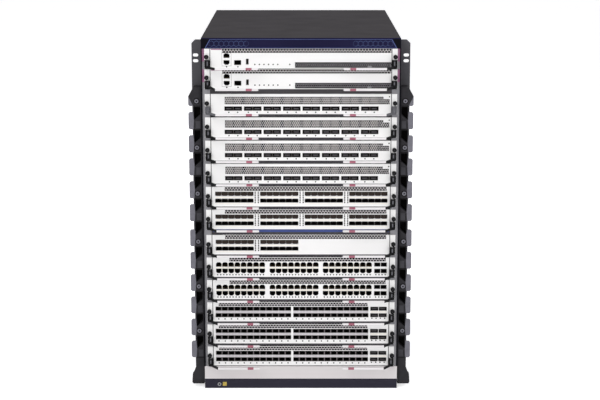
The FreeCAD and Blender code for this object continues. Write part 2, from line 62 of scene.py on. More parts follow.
shell_low, shell_high = node_box("chassis_shell")
bezel_low, bezel_high = node_box("front_bezel")
FRONT = shell_low.y
HALF_WIDTH = shell_high.x
PANEL_TOP = node_box("lower_front_panel")[1].z
FACE_HALF = node_box("line_card_01")[1].x
LINE_CARDS = sorted(n for n in frame["nodes"] if n.startswith("line_card") and "lever" not in n)
CONTROL_CARDS = sorted(n for n in frame["nodes"] if n.startswith("control_card") and "lever" not in n)
ROTORS = sorted(n for n in frame["nodes"] if n.startswith("fan_rotor"))
UPPER_BANK = 6  # line cards above the divider

# ---------------------------------------------------------------- sizes that the CAD and the looks share
PLATE = 2.0  # thickness of a faceplate
FLANGE_FRONT = FRONT + PLATE + 0.3  # front of the case's flanges, just behind the faceplates
HANDLE_REACH = 33.0  # rear handles stand this far out
REAR = node_box("power_supply_right")[1].y - HANDLE_REACH
HINGE_X = FACE_HALF - 7.2
HINGE_Y = FRONT - 6.6
HUB_FLAT = 2.1  # half of a flat side of a lever's eight-sided hub
HUB_HALF = 3.6
ELBOW_X = HINGE_X - 17.5  # a lever's arm meets its bar here
BAR_FRONT = FRONT - 33.0
BAR_BACK = FRONT - 28.0
BAR_LENGTH = 93.6
BAR_HEIGHT = 4.6
BAR_BEVEL = 0.8
PATCH = (119.5, 106.5)  # coloured patch of a lever's bar, measured from the middle
CAGE_DEPTH = 26.0  # depth of a port cage behind the face
BOARD_RISE = 5.8  # top of a card's board above the card's foot
GUIDE_FACE = FRONT + 8.0  # front of the cable guides' rails
GUIDE_EDGE = 237.2  # tabs of the cable guides start here


# ---------------------------------------------------------------- materials
def linear(code):
    """Scene-linear colour of an sRGB hex code."""
    parts = [int(code[k:k + 2], 16) / 255 for k in (0, 2, 4)]
    return tuple(c / 12.92 if c <= 0.04045 else ((c + 0.055) / 1.055) ** 2.4 for c in parts)


def shaded(colour, factor):
    """The colour made darker or lighter, with full alpha."""
    return tuple(min(c * factor, 1.0) for c in colour) + (1.0,)


GLOSS_SPREAD = 0.08  # roughness varies by this much each way
FINE_RELIEF = 0.3 * MM


def finish_of(name, code, rough=0.5, metal=0.0, mottle=0.07, patch=60.0, grain=0.7, bump=0.12,
              stretch=(1.0, 1.0, 1.0), specular=0.5):
    """A painted, moulded or metal finish: patchy colour and gloss over a fine grained bump."""
    material = bpy.data.materials.new(name)
    material.use_nodes = True
    tree = material.node_tree
    shader = tree.nodes["Principled BSDF"]
    shader.inputs["Metallic"].default_value = metal
    shader.inputs["Specular IOR Level"].default_value = specular
    place = tree.nodes.new("ShaderNodeTexCoord")
    mapping = tree.nodes.new("ShaderNodeMapping")
    mapping.inputs["Scale"].default_value = stretch
    tree.links.new(place.outputs["Object"], mapping.inputs["Vector"])
    colour = linear(code)

    wide = tree.nodes.new("ShaderNodeTexNoise")
    wide.inputs["Scale"].default_value = 1.0 / (patch * MM)
    wide.inputs["Detail"].default_value = 4.0
    tree.links.new(mapping.outputs["Vector"], wide.inputs["Vector"])
    spread = tree.nodes.new("ShaderNodeMapRange")
    spread.inputs["From Min"].default_value = 0.3
    spread.inputs["From Max"].default_value = 0.7
    tree.links.new(wide.outputs["Fac"], spread.inputs["Value"])
    mix = tree.nodes.new("ShaderNodeMix")
    mix.data_type = "RGBA"
    mix.inputs["A"].default_value = shaded(colour, 1.0 - mottle)
    mix.inputs["B"].default_value = shaded(colour, 1.0 + mottle)
    tree.links.new(spread.outputs["Result"], mix.inputs["Factor"])
    tree.links.new(mix.outputs["Result"], shader.inputs["Base Color"])

    fine = tree.nodes.new("ShaderNodeTexNoise")
    fine.inputs["Scale"].default_value = 1.0 / (grain * MM)
    fine.inputs["Detail"].default_value = 3.0
    tree.links.new(mapping.outputs["Vector"], fine.inputs["Vector"])
    gloss = tree.nodes.new("ShaderNodeMapRange")
    gloss.inputs["To Min"].default_value = max(rough - GLOSS_SPREAD, 0.02)
    gloss.inputs["To Max"].default_value = min(rough + GLOSS_SPREAD, 1.0)
    tree.links.new(fine.outputs["Fac"], gloss.inputs["Value"])
    tree.links.new(gloss.outputs["Result"], shader.inputs["Roughness"])
    relief = tree.nodes.new("ShaderNodeBump")
    relief.inputs["Strength"].default_value = bump
    relief.inputs["Distance"].default_value = FINE_RELIEF
    tree.links.new(fine.outputs["Fac"], relief.inputs["Height"])
    tree.links.new(relief.outputs["Normal"], shader.inputs["Normal"])
    return material


BRUSHED_X = (0.06, 1.0, 1.0)  # grain drawn out along X, Y or Z
BRUSHED_Y = (1.0, 0.08, 1.0)
BRUSHED_Z = (1.0, 1.0, 0.1)
CASE = finish_of("case_paint", "464446", rough=0.6, bump=0.35, grain=0.9, specular=0.0)
CASE_EDGE = finish_of("case_edge", "38373a", rough=0.6, bump=0.2, grain=0.6, mottle=0.2, patch=9.0,
                      specular=0.0)
NAVY = finish_of("bezel_navy", "201f39", rough=0.4, mottle=0.16, patch=120.0, bump=0.04, specular=0.0)
NAVY_DARK = finish_of("bezel_dark", "08080f", rough=0.5, bump=0.05, specular=0.05)
HEX_BLUE = finish_of("bezel_honeycomb", "3a466c", rough=0.4, mottle=0.12, patch=25.0, specular=0.2)
STEEL_BLUE = finish_of("bezel_outline", "4c5a8a", rough=0.4, mottle=0.12, patch=25.0, specular=0.3)
SILVER = finish_of("silver_panel", "d6d1d1", rough=0.42, metal=0.1, bump=0.1, stretch=BRUSHED_X, grain=0.5)
# Base band: the case paint drawn much darker, as painted shade.
SHADED_BAND = finish_of("band_plastic", "22202d", rough=0.55, bump=0.25, specular=0.2)
FACE = finish_of("card_face", "efeeed", rough=0.5, mottle=0.03, bump=0.08, stretch=BRUSHED_X,
                 grain=0.4, specular=0.3)
FACE_EDGE = finish_of("card_face_edge", "b4b2b3", rough=0.35, metal=0.6, mottle=0.1, patch=12.0)
MESH_DARK = finish_of("vent_mesh_dark", "8d8a8e", rough=0.5, mottle=0.08, patch=15.0, grain=0.4, specular=0.1)
MESH = finish_of("vent_mesh", "d6d2d2", rough=0.5, mottle=0.06, patch=15.0, grain=0.4, specular=0.1)
CAGE = finish_of("cage_metal", "67635f", rough=0.42, metal=0.4, mottle=0.2, patch=8.0, grain=0.3)
# Near-black lining of ports, vents, slits, recesses and holes: painted shade, the darkness inside them.
RECESS_SHADE = finish_of("recess_painted_shade", "0c0a09", rough=0.7, mottle=0.3, patch=6.0, grain=0.5, specular=0.1)
JACK = finish_of("jack_plastic", "100f0e", rough=0.6, mottle=0.2, patch=8.0, grain=0.5, specular=0.08)
WEB = finish_of("port_web", "6b6468", rough=0.5, mottle=0.12, patch=6.0, specular=0.15)
WEB_PALE = finish_of("port_web_pale", "c9c5c9", rough=0.5, mottle=0.08, patch=10.0, specular=0.15)
CREAM = finish_of("port_cream", "efe9dc", rough=0.5, mottle=0.05, patch=10.0, specular=0.3)
# Jack contacts: gold painted dark for the shade deep inside the jacks.
SHADED_GOLD = finish_of("contact_gold_shaded", "5e4a22", rough=0.35, metal=1.0, mottle=0.15, patch=4.0)
LENS = finish_of("lens_dot", "1d201e", rough=0.25, mottle=0.25, patch=2.0, specular=0.4)
FLAP = finish_of("port_flap", "2f2722", rough=0.5, mottle=0.2, patch=8.0, specular=0.15)
TAB = finish_of("port_tab", "4b484b", rough=0.45, mottle=0.18, patch=8.0, specular=0.3)
# Dark grey strips of painted shade: along the folds near the ends of card faces, and in the gap under the
# blue divider.
SHADE_STRIP = finish_of("painted_shade_strip", "3f3d41", rough=0.5, mottle=0.18, patch=8.0, specular=0.2)
# Dark grey lip set back in each gap between cards: partly a shelf lip, partly painted shade of the gap.
GAP_LIP_SHADE = finish_of("shelf_lip_gap_shade", "48464a", rough=0.5, mottle=0.2, patch=6.0, specular=0.1)
STRIP = finish_of("flange_zinc", "7f7e82", rough=0.5, metal=0.2, mottle=0.16, patch=14.0, stretch=BRUSHED_Z)
MAUVE = finish_of("flange_mauve", "8f5f7d", rough=0.45, mottle=0.14, patch=12.0, specular=0.3)
BLUE = finish_of("divider_blue", "34447e", rough=0.4, mottle=0.12, patch=40.0, specular=0.3)
BLACK = finish_of("lever_black", "0d0d0f", rough=0.5, bump=0.2, mottle=0.2, patch=10.0, specular=0.1)
GREY_ARM = finish_of("lever_grey", "57575c", rough=0.4, metal=0.4, mottle=0.16, patch=10.0)
BAR = finish_of("lever_silver", "e2dfe0", rough=0.38, metal=0.15, mottle=0.05, patch=20.0,
                stretch=BRUSHED_X, grain=0.4)
RED = finish_of("lever_red", "a06070", rough=0.45, mottle=0.16, patch=6.0, specular=0.3)
STEEL = finish_of("pin_steel", "8d8d90", rough=0.32, metal=0.8, mottle=0.12, patch=6.0)
ZINC = finish_of("zinc_sheet", "8b8c8f", rough=0.42, metal=0.7, mottle=0.2, patch=9.0, grain=0.5)
BOARD = finish_of("solder_mask", "1c5036", rough=0.42, mottle=0.25, patch=5.0, grain=0.9, bump=0.3,
                  specular=0.4)
CHIP = finish_of("chip_black", "1a1a1c", rough=0.5, mottle=0.15, patch=12.0, specular=0.3)
SINK = finish_of("sink_aluminium", "a9abae", rough=0.36, metal=0.8, mottle=0.08, patch=20.0,
                 stretch=BRUSHED_Y)
PLUG = finish_of("plug_ivory", "c4bca2", rough=0.5, mottle=0.08, patch=10.0)
EAR = finish_of("ear_paint", "545357", rough=0.6, bump=0.3, mottle=0.09, specular=0.05)
GUIDE = finish_of("guide_plastic", "2c2b2e", rough=0.6, bump=0.35, mottle=0.16, patch=25.0, specular=0.1)
GUIDE_PLATE = finish_of("guide_plate", "3e3d41", rough=0.6, bump=0.3, mottle=0.14, patch=20.0, specular=0.1)
GUIDE_TAB = finish_of("guide_tab", "6e6d75", rough=0.6, bump=0.3, mottle=0.14, patch=20.0, specular=0.25)
MODULE = finish_of("module_paint", "4b4c50", rough=0.5, bump=0.3, specular=0.25)
ROTOR = finish_of("rotor_black", "0f0f11", rough=0.4, mottle=0.2, patch=15.0, specular=0.3)
YELLOW = finish_of("marker_yellow", "b9a24e", rough=0.5, mottle=0.15, patch=4.0, specular=0.3)


# ---------------------------------------------------------------- mesh building
HOLE_PITCH = 4.4  # height that a row of holes takes in a vent, about
SHALLOW_VENT = 10.0  # a vent lower than this has two rows of larger cells
SHALLOW_CELL = 3.7
HOLE_SHARE = 0.84  # radius of a hole as a share of its cell's
MESH_DEPTH = 0.8


def ring(x, z, radius, count, start=0.0):
    """Points (x, z) evenly round a centre, the first at a start angle in degrees."""
    angles = [math.radians(start + 360 * k / count) for k in range(count)]
    return [(x + radius * math.cos(a), z + radius * math.sin(a)) for a in angles]


def side_faces(count, first=0):
    """Quads between a ring of points and the ring that follows it."""
    turn = [(first + k, first + (k + 1) % count) for k in range(count)]
    return [(a, b, count + b, count + a) for a, b in turn]


def end_faces(count):
    """Both ends of a body of two rings."""
    return [tuple(reversed(range(count))), tuple(range(count, 2 * count))]


def box_corners(x0, x1, y0, y1, z0, z1):
    return [(x, y, z) for z in (z0, z1) for x, y in ((x0, y0), (x1, y0), (x1, y1), (x0, y1))]


class Shape:
    """Gathers plain solids, in millimetres, into one mesh with a material for each."""

    def __init__(self, name, body):
        self.name = name
        self.body = body
        self.points = []
        self.faces = []
        self.indices = []
        self.smooth = []
        self.materials = []

    def add(self, points, faces, material, smooth=None):
        """Faces over new points; smooth tells which of the faces are shaded smooth."""
        if material not in self.materials:
            self.materials.append(material)
        start = len(self.points)
        self.points.extend(points)
        index = self.materials.index(material)
        for k, face in enumerate(faces):
            self.faces.append([start + i for i in face])
            self.indices.append(index)
            self.smooth.append(bool(smooth and smooth[k]))

    def box(self, x0, x1, y0, y1, z0, z1, material):
        """A block; x0 and x1 may come in either order, so that one call serves both sides."""
        faces = [(3, 2, 1, 0), (4, 5, 6, 7), (0, 1, 5, 4), (1, 2, 6, 5), (2, 3, 7, 6), (3, 0, 4, 7)]
        self.add(box_corners(min(x0, x1), max(x0, x1), y0, y1, z0, z1), faces, material)

    def pocket(self, x0, x1, y0, y1, z0, z1, material):
        """Lining of a hole that is open towards the front."""
        faces = [(0, 1, 2, 3), (7, 6, 5, 4), (5, 6, 2, 1), (6, 7, 3, 2), (7, 4, 0, 3)]
        self.add(box_corners(x0, x1, y0, y1, z0, z1), faces, material)

    def frame(self, x0, x1, y0, y1, z0, z1, line, material):
        """Four bars inside the edges of a rectangle."""
        for z in (z0, z1 - line):
            self.box(x0, x1, y0, y1, z, z + line, material)
        for x in (x0, x1 - line):
            self.box(x, x + line, y0, y1, z0 + line, z1 - line, material)

    def prism(self, outline, run, material):
        """A closed outline of 3-D points, pushed along a vector."""
        count = len(outline)
        points = [tuple(p) for p in outline] + [tuple(a + b for a, b in zip(p, run)) for p in outline]
        self.add(points, end_faces(count) + side_faces(count), material)

    def rod(self, start, end, radius, material, sides=16, end_radius=None, teeth=0.0):
        """Round bar between two points; teeth is the depth of its knurling."""
        start, end = Vector(start), Vector(end)
        axis = (end - start).normalized()
        across = axis.orthogonal().normalized()
        up = axis.cross(across)
        last = radius if end_radius is None else end_radius
        points = []
        for centre, r in ((start, radius), (end, last)):
            for k in range(sides):
                angle = 2 * math.pi * k / sides
                reach = r - teeth * (k % 2)
                points.append(tuple(centre + (across * math.cos(angle) + up * math.sin(angle)) * reach))
        smooth = [False, False] + [teeth == 0.0] * sides
        self.add(points, end_faces(sides) + side_faces(sides), material, smooth)

    def hoop(self, points, radius, material, sides):
        """Thin round wire along a closed run of points."""
        for start, end in zip(points, points[1:] + points[:1]):
            self.rod(start, end, radius, material, sides)

    def honeycomb(self, x0, x1, z0, z1, y, material):
        """Perforated sheet over an opening, in whole rows of holes; it runs on behind the plate."""
        height = z1 - z0
        rows = max(2, round(height / HOLE_PITCH))
        reach = height / (1.5 * (rows - 1) + 2 * HOLE_SHARE)
        if rows == 2 and height < SHALLOW_VENT:
            reach = SHALLOW_CELL
        rise = 1.5 * reach
        pitch = math.sqrt(3) * reach
        columns = round((x1 - x0) / pitch) + 1
        start_z = (z0 + z1) / 2 - rise * (rows - 1) / 2
        start_x = (x0 + x1) / 2 - pitch * (columns - 1) / 2
        faces = side_faces(6) + side_faces(6, 6)
        for row in range(rows):
            cz = start_z + row * rise
            for k in range(columns + 1):
                cx = start_x + (k - 0.5 * (row % 2)) * pitch
                if cx - pitch / 2 > x1 or cx + pitch / 2 < x0:
                    continue
                cell = ring(cx, cz, reach, 6, 30)
                hole = ring(cx, cz, reach * HOLE_SHARE, 6, 30)
                points = [(x, y, z) for x, z in cell + hole] + [(x, y + MESH_DEPTH, z) for x, z in hole]
                self.add(points, faces, material)

    def make(self, stands_for=()):
        """The finished piece, riding on its body; stands_for names the CAD nodes that it replaces."""
        mesh = bpy.data.meshes.new(self.name)
        mesh.from_pydata([(x * MM, y * MM, z * MM) for x, y, z in self.points], [], self.faces)
        for material in self.materials:
            mesh.materials.append(material)
        mesh.polygons.foreach_set("material_index", self.indices)
        mesh.polygons.foreach_set("use_smooth", self.smooth)
        mesh.update()
        piece = bpy.data.objects.new(self.name, mesh)
        bpy.context.scene.collection.objects.link(piece)
        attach(piece, self.body)
        if stands_for:
            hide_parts(*stands_for)
        return piece


def add_bevel(piece, width, edge_index):
    """Rounded edges; edge_index is their material's number, or -1 for that of the faces beside them."""
    modifier = piece.modifiers.new("soft_edges", "BEVEL")
    modifier.width = width * MM
    modifier.segments = 2
    modifier.limit_method = "ANGLE"
    modifier.angle_limit = math.radians(35)
    modifier.material = edge_index


def dressed_copy(node, body, materials, bevel, pick=None, edge_index=-1):
    """The node's own shape with rounded edges; pick chooses a material from a face's middle and normal."""
    mesh = frame["nodes"][node].data.copy()
    mesh.materials.clear()
    for material in materials:
        mesh.materials.append(material)
    build = bmesh.new()
    build.from_mesh(mesh)
    bmesh.ops.remove_doubles(build, verts=build.verts, dist=1e-6)
    bmesh.ops.recalc_face_normals(build, faces=build.faces)
    for face in build.faces:
        face.material_index = pick(face.calc_center_median() / MM, face.normal) if pick else 0
        face.smooth = False
    bmesh.ops.dissolve_limit(build, angle_limit=math.radians(1), verts=build.verts, edges=build.edges,
                             delimit={"MATERIAL"})
    build.to_mesh(mesh)
    build.free()
    piece = bpy.data.objects.new(node + "_look", mesh)
    bpy.context.scene.collection.objects.link(piece)
    add_bevel(piece, bevel, edge_index)
    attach(piece, body)
    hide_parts(node)
    return piece


def solid_parts(x0, x1, z0, z1, holes):
    """Rectangles of a plate that lie between its holes, each (x0, x1, z0, z1)."""
    levels = sorted({z0, z1} | {z for hole in holes for z in hole[2:] if z0 < z < z1})
    parts = []
    for low, high in zip(levels, levels[1:]):
        middle = (low + high) / 2
        spans = sorted((hole[0], hole[1]) for hole in holes if hole[2] < middle < hole[3])
        edge = x0
        for left, right in spans + [(x1, x1)]:
            if left - edge > 0.01:
                parts.append((edge, left, low, high))
            edge = max(edge, right)
    return parts


# ---------------------------------------------------------------- card faces
LENS_RADIUS = 1.6
GROOVE_X = 198.2  # line where a face turns into its raised end


def port_cage(shape, x0, x1, z0, z1, tab=None):
    """Metal cage of an optical port: thin lip, a near-black lining of painted shade, inner block and perhaps
    a pull tab.
    """
    shape.pocket(x0, x1, FRONT, FRONT + CAGE_DEPTH, z0, z1, RECESS_SHADE)
    shape.frame(x0, x1, FRONT - 0.4, FRONT + 1.5, z0, z1, 0.35, CAGE)
    shape.box(x0 + 2.2, x1 - 2.2, FRONT + 18, FRONT + 24, z0 + 1.4, z0 + 3.0, JACK)
    if tab:
        middle = (x0 + x1) / 2
        shape.box(middle - 5.6, middle + 5.6, FRONT + 1.6, FRONT + 3.0, z0 + 3.0, z1 - 4.2, tab)


def cut_corners(shape, x0, x1, edge, inner, wide, thick):
    """Triangles in two corners of a port: wide at its edge height, and gone at the inner height."""
    for x, sign in ((x0, 1), (x1, -1)):
        outline = [(x, FRONT, edge), (x + sign * wide, FRONT, edge), (x, FRONT, inner)]
        shape.prism(outline, (0, thick, 0), FACE)


def port_jack(shape, x0, x1, z0, z1, latch_up):
    """Modular jack: a stepped latch notch on one side and eight contacts inside."""
    shape.pocket(x0, x1, FRONT + 0.2, FRONT + 18, z0, z1, JACK)
    drop = (z1 - z0) * 0.3
    edge, inner = (z1, z1 - drop) if latch_up else (z0, z0 + drop)
    cut_corners(shape, x0, x1, edge, inner, (x1 - x0) * 0.25, 1.4)
    low = z0 + 0.9 if latch_up else z1 - 1.9
    contacts, margin = 8, 2.0
    step = (x1 - x0 - 2 * margin) / contacts
    for k in range(contacts):
        x = x0 + margin + (k + 0.5) * step
        # Contacts in darkened gold: painted shade of the jack's inside.
        shape.box(x - 0.2, x + 0.2, FRONT + 6.0, FRONT + 13.0, low, low + 0.7, SHADED_GOLD)


def spread_ports(left, right, count, web):
    """Left and right edges of equal ports between two ends, with a web between neighbours."""
    width = (right - left - web * (count - 1)) / count
    return [(left + k * (width + web), left + k * (width + web) + width) for k in range(count)]


class FaceLayout:
    """Openings of one faceplate. Drops are measured down from the top of the face."""

    def __init__(self, shape, top, bottom):
        self.shape = shape
        self.top = top
        self.bottom = bottom
        self.holes = []

    def hole(self, x0, x1, drop_top, drop_bottom):
        """Keeps an opening free in the faceplate and gives its lower and upper height."""
        z0, z1 = self.top - drop_bottom, self.top - drop_top
        self.holes.append((x0, x1, z0, z1))
        return z0, z1

    def vent(self, x0, x1, drop_top, drop_bottom, sheet=MESH):
        """An opening with a perforated sheet in it and a near-black lining behind, painted shade."""
        z0, z1 = self.hole(x0, x1, drop_top, drop_bottom)
        self.shape.honeycomb(x0, x1, z0, z1, FRONT + 0.15, sheet)
        self.shape.pocket(x0, x1, FRONT + 1.0, FRONT + 14.0, z0, z1, RECESS_SHADE)

    def cages(self, left, right, count, drop_top, drop_bottom, web=1.0, tab=None):
        """A row of optical ports, each in its own opening."""
        for x0, x1 in spread_ports(left, right, count, web):
            z0, z1 = self.hole(x0, x1, drop_top, drop_bottom)
            port_cage(self.shape, x0, x1, z0, z1, tab)

    def bank(self, left, right, drop_top, drop_bottom, flaps):
        """Six cages side by side in one opening: with flaps and low chamfers, or with high chamfers."""
        z0, z1 = self.hole(left, right, drop_top, drop_bottom)
        gap = 0.3
        edge, inner = (z0, z0 + 1.7) if flaps else (z1, z1 - 1.7)
        for x0, x1 in spread_ports(left, right, 6, gap):
            port_cage(self.shape, x0, x1, z0, z1)
            cut_corners(self.shape, x0 - gap / 2, x1 + gap / 2, edge, inner, 3.0, 1.6)
            if flaps:
                self.shape.box(x0 + 0.8, x1 - 0.8, FRONT + 1.8, FRONT + 2.4, z0 + 0.8, z1 - 0.8, FLAP)

    def jacks(self, left, right, count, drop_top, drop_bottom, latch_up, web=0.0):
        """A row of modular jacks, each in its own opening."""
        for x0, x1 in spread_ports(left, right, count, web):
            z0, z1 = self.hole(x0, x1, drop_top, drop_bottom)
            port_jack(self.shape, x0, x1, z0, z1, latch_up)

    def lenses(self, xs, drop):
        """Round indicator lenses at one height."""
        for x in xs:
            z = self.top - drop
            self.shape.rod((x, FRONT + 0.5, z), (x, FRONT - 0.25, z), LENS_RADIUS, LENS, 8)

    def bar(self, x0, x1, drop_top, drop_bottom, material, proud=0.08):
        """A strip of colour that stands barely proud of the face."""
        self.shape.box(x0, x1, FRONT - proud, FRONT, self.top - drop_bottom, self.top - drop_top, material)


def control_face(face):
    """Two jacks in a frame, a cage, an upright slot, lenses and vents above and below."""
    face.vent(-172.0, 197.0, 0.3, 9.2)
    face.vent(-13.0, 197.7, 29.5, 42.0, MESH_DARK)
    face.jacks(-168.6, -155.6, 1, 10.0, 20.0, True)
    face.jacks(-168.6, -155.6, 1, 25.2, 35.1, False)
    face.shape.frame(-172.5, -151.8, FRONT - 0.06, FRONT, face.top - 38.0, face.top - 9.0, 0.5, TAB)
    face.cages(-145.5, -130.3, 1, 25.0, 35.5)
    slot_left, slot_right = -119.7, -113.9
    z0, z1 = face.hole(slot_left, slot_right, 22.0, 34.5)
    face.shape.pocket(slot_left, slot_right, FRONT, FRONT + 14, z0, z1, CAGE)
    face.shape.box(slot_left + 1.8, slot_left + 3.2, FRONT + 1, FRONT + 13, z0 + 1.2, z1 - 1.2, JACK)
    face.lenses([-162.0, -137.5], 39.4)
    face.lenses([-100.5 + 10.0 * k for k in range(6)] + [-24.3], 34.5)
    face.bar(-196.0, -172.5, 0.3, 2.6, MAUVE)


def wide_face(face):
    """Eight double ports in a row, under a vent that shows the cans of their cages."""
    face.vent(-167.0, 181.0, 6.1, 22.9)
    face.vent(181.0, 194.5, 11.2, 22.9)
    cage, cage_pitch, port_pitch = 19.0, 19.5, 42.8
    for k in range(8):
        left = -167.7 + port_pitch * k
        z0, z1 = face.hole(left, left + cage_pitch + cage, 27.4, 37.0)
        for x in (left, left + cage_pitch):
            port_cage(face.shape, x, x + cage, z0, z1, TAB)
            face.shape.box(x + 1.5, x + 17.5, FRONT + 4.0, FRONT + 6.0, face.top - 21.6, face.top - 8.0, CAGE)
        face.lenses([left + 9.6, left + 28.9], 40.4)
    face.lenses([194.0], 6.0)


def small_face(face, groups):
    """Groups of twelve small ports in two rows, with columns of lenses between the groups."""
    face.vent(-169.0, 190.0, 0.6, 9.0)
    width = 85.0
    lefts = (-190.1, -90.6, 8.4, 107.0)[:groups]
    for left in lefts:
        right = left + width
        face.bank(left, right, 10.9, 20.6, True)
        face.bank(left, right, 26.5, 35.6, False)
        face.bar(left + 1.0, right - 1.0, 22.6, 24.4, CREAM, 0.3)
        face.bar(left, right, 37.6, 39.0, CREAM)
    for left in lefts[:-1]:
        middle = left + 92.2
        for k in range(7):
            face.lenses([middle - 3.4, middle + 3.4], 12.0 + 3.9 * k)


def copper_face(face):
    """Three groups of sixteen copper jacks and four optical ports."""
    face.vent(-160.0, 190.0, 0.6, 9.0)
    width, columns, web = 109.5, 8, 1.5
    for left in (-189.9, -70.0, 49.2):
        right = left + width
        face.jacks(left, right, columns, 10.8, 21.0, True, web)
        face.jacks(left, right, columns, 25.4, 36.0, False, web)
        face.bar(left - 0.8, right + 0.8, 22.0, 24.4, CREAM, 0.3)
        for x0, x1 in spread_ports(left, right, columns, web)[:-1]:
            face.bar(x1 + 0.2, x1 + web - 0.2, 10.6, 36.4, CREAM, 0.3)
        face.lenses([left + width * (k + 0.5) / 16 for k in range(16)], 39.4)
    for drop_top, drop_bottom in ((11.3, 20.6), (25.8, 35.8)):
        face.cages(164.3, 192.3, 2, drop_top, drop_bottom)
    face.lenses([168.0, 175.0, 182.0, 189.0], 39.4)


def dense_face(face):
    """Two groups of twenty-four small ports and four wider ones."""
    face.vent(-185.0, 150.0, 0.6, 8.6)
    columns, web = 12, 1.4
    for left, right in ((-192.1, -22.1), (-17.1, 152.0)):
        for drop_top, drop_bottom in ((10.0, 19.5), (25.2, 34.7)):
            face.cages(left, right, columns, drop_top, drop_bottom, web)
            for x0, x1 in spread_ports(left, right, columns, web)[:-1]:
                face.bar(x1 - 0.1, x1 + web + 0.1, drop_top, drop_bottom, WEB, 0.35)
        face.bar(left, right, 20.2, 24.6, WEB_PALE, 0.3)
        face.lenses([left + (right - left) * (k + 0.5) / columns for k in range(columns)], 38.6)
    for drop_top, drop_bottom in ((10.4, 19.3), (25.6, 34.5)):
        face.cages(156.3, 193.2, 2, drop_top, drop_bottom, 1.2, TAB)
    face.bar(157.0, 192.5, 21.4, 23.4, CREAM, 0.3)
    face.lenses([160.0 + 9.6 * k for k in range(4)], 37.0)


def face_kind(name):
    """The function that lays out a card's face."""
    if name.startswith("control"):
        return control_face
    number = int(name[-2:])
    if number <= 4:
        return wide_face
    if number <= UPPER_BANK:
        return lambda face: small_face(face, 4)
    if number == UPPER_BANK + 1:
        return lambda face: small_face(face, 2)
    if number <= 9:
        return copper_face
    return dense_face


def face_plate(face):
    """Sheet of the card face between its openings, with a dark strip near each end painted as the shade of
    the fold.
    """
    for x0, x1, z0, z1 in solid_parts(-FACE_HALF, FACE_HALF, face.bottom, face.top, face.holes):
        face.shape.box(x0, x1, FRONT, FRONT + PLATE, z0, z1, FACE)
    for x in (-GROOVE_X, GROOVE_X):
        # Painted shade of the fold: a dark strip barely proud of the face.
        face.shape.box(x - 0.8, x + 0.8, FRONT - 0.08, FRONT, face.bottom, face.top, SHADE_STRIP)


# ---------------------------------------------------------------- cards
def thumbscrew(shape, x, z):
    """Knurled captive screw with its silver shoulder and cross recess."""
    shape.rod((x, FRONT, z), (x, FRONT - 2.6, z), 4.2, STEEL, 24)
    shape.rod((x, FRONT - 2.6, z), (x, FRONT - 9.6, z), 4.9, BLACK, 48, teeth=0.35)
    shape.rod((x, FRONT - 9.6, z), (x, FRONT - 10.4, z), 4.6, BLACK, 24, 3.9)
    for wide, tall in ((2.4, 0.5), (0.5, 2.4)):
        shape.box(x - wide, x + wide, FRONT - 10.5, FRONT - 10.2, z - tall, z + tall, CHIP)


def lever_bracket(shape, side, low, high, metal):
    """Two plates on a web, with the pin's heads above and below them."""
    half, sheet = 5.4, 1.2
    tip = HINGE_Y - 4.2
    outline = [(FRONT, low), (tip, low), (tip, low + sheet), (FRONT - sheet, low + sheet),
               (FRONT - sheet, high - sheet), (tip, high - sheet), (tip, high), (FRONT, high)]
    x = side * HINGE_X
    shape.prism([(x - half, y, z) for y, z in outline], (2 * half, 0, 0), metal)
    shape.box(side * (GROOVE_X + 1.0), side * (FACE_HALF - 0.4), FRONT - 1.1, FRONT, low, high, metal)
    for start, end in ((high, high + 0.7), (low, low - 0.5)):
        shape.rod((x, HINGE_Y, start), (x, HINGE_Y, end), 2.3, STEEL, 16, 1.9)


def tray_parts(shape, bottom, back):
    """Folded tray, board with its parts, finned heat sink and the plug blocks at the back."""
    front = FRONT + PLATE
    end = back - 22.0
    floor = bottom + 1.2
    shape.box(-196, 196, front, end, bottom, floor, ZINC)
    for side in (-1, 1):
        shape.box(side * 194.8, side * 196, front, end, floor, bottom + 9.0, ZINC)
        shape.box(side * 146, side * 154, front, end, floor, floor + 3.0, ZINC)
    board = bottom + BOARD_RISE
    shape.box(-190, 190, FRONT + 14.5, back - 11.0, board - 1.6, board, BOARD)
    sink = FRONT + 150
    sink_end = sink + 110
    shape.box(-90, 90, sink, sink_end, board, board + 5, SINK)
    fins = 30
    for k in range(fins):
        x = 89.2 * (2 * k / (fins - 1) - 1)
        shape.box(x - 0.7, x + 0.7, sink, sink_end, board + 5, board + 20, SINK)
    for side in (-1, 1):
        x = side * 100.0
        shape.box(x - 43, x + 43, back - 22, back, board, board + 17, PLUG)
        for row in range(3):
            z = board + 3.4 + 4.6 * row
            shape.box(x - 40, x + 40, back - 0.4, back + 0.02, z, z + 1.8, CHIP)
        for y in (sink + 20, sink + 60):
            shape.box(side * 118, side * 142, y, y + 24, board, board + 3, CHIP)
        for k in range(6):
            y = sink + 10 + 16 * k
            shape.rod((side * 168, y, board), (side * 168, y, board + 9), 4.4, SINK, 16)
    for k in range(7):
        x = -72 + 24 * k
        shape.box(x - 8, x + 8, FRONT + 96, FRONT + 110, board, board + 2.2, CHIP)
    for k in range(12):
        x = -132 + 24 * k
        shape.box(x - 4, x + 4, back - 70, back - 58, board, board + 4.5, CHIP)


def cage_bodies(shape, holes, bottom):
    """Metal cans of the port cages behind the face, standing on the board."""
    ports = [h for h in holes if h[1] - h[0] < 40]
    deep = FRONT + CAGE_DEPTH + 0.2
    for left in sorted({round(h[0], 1) for h in ports}):
        column = [h for h in ports if round(h[0], 1) == left]
        right = max(h[1] for h in column)
        high = max(h[3] for h in column) + 0.5
        shape.box(left - 0.4, right + 0.4, deep, FRONT + 46, bottom + BOARD_RISE, high, CAGE)
        shape.box(left - 0.4, right + 0.4, FRONT + PLATE + 0.2, deep, high - 0.3, high, CAGE)


def arm_metal(card):
    """The first line card has pale lever arms and brackets, the others have black ones."""
    return GREY_ARM if card == LINE_CARDS[0] else BLACK


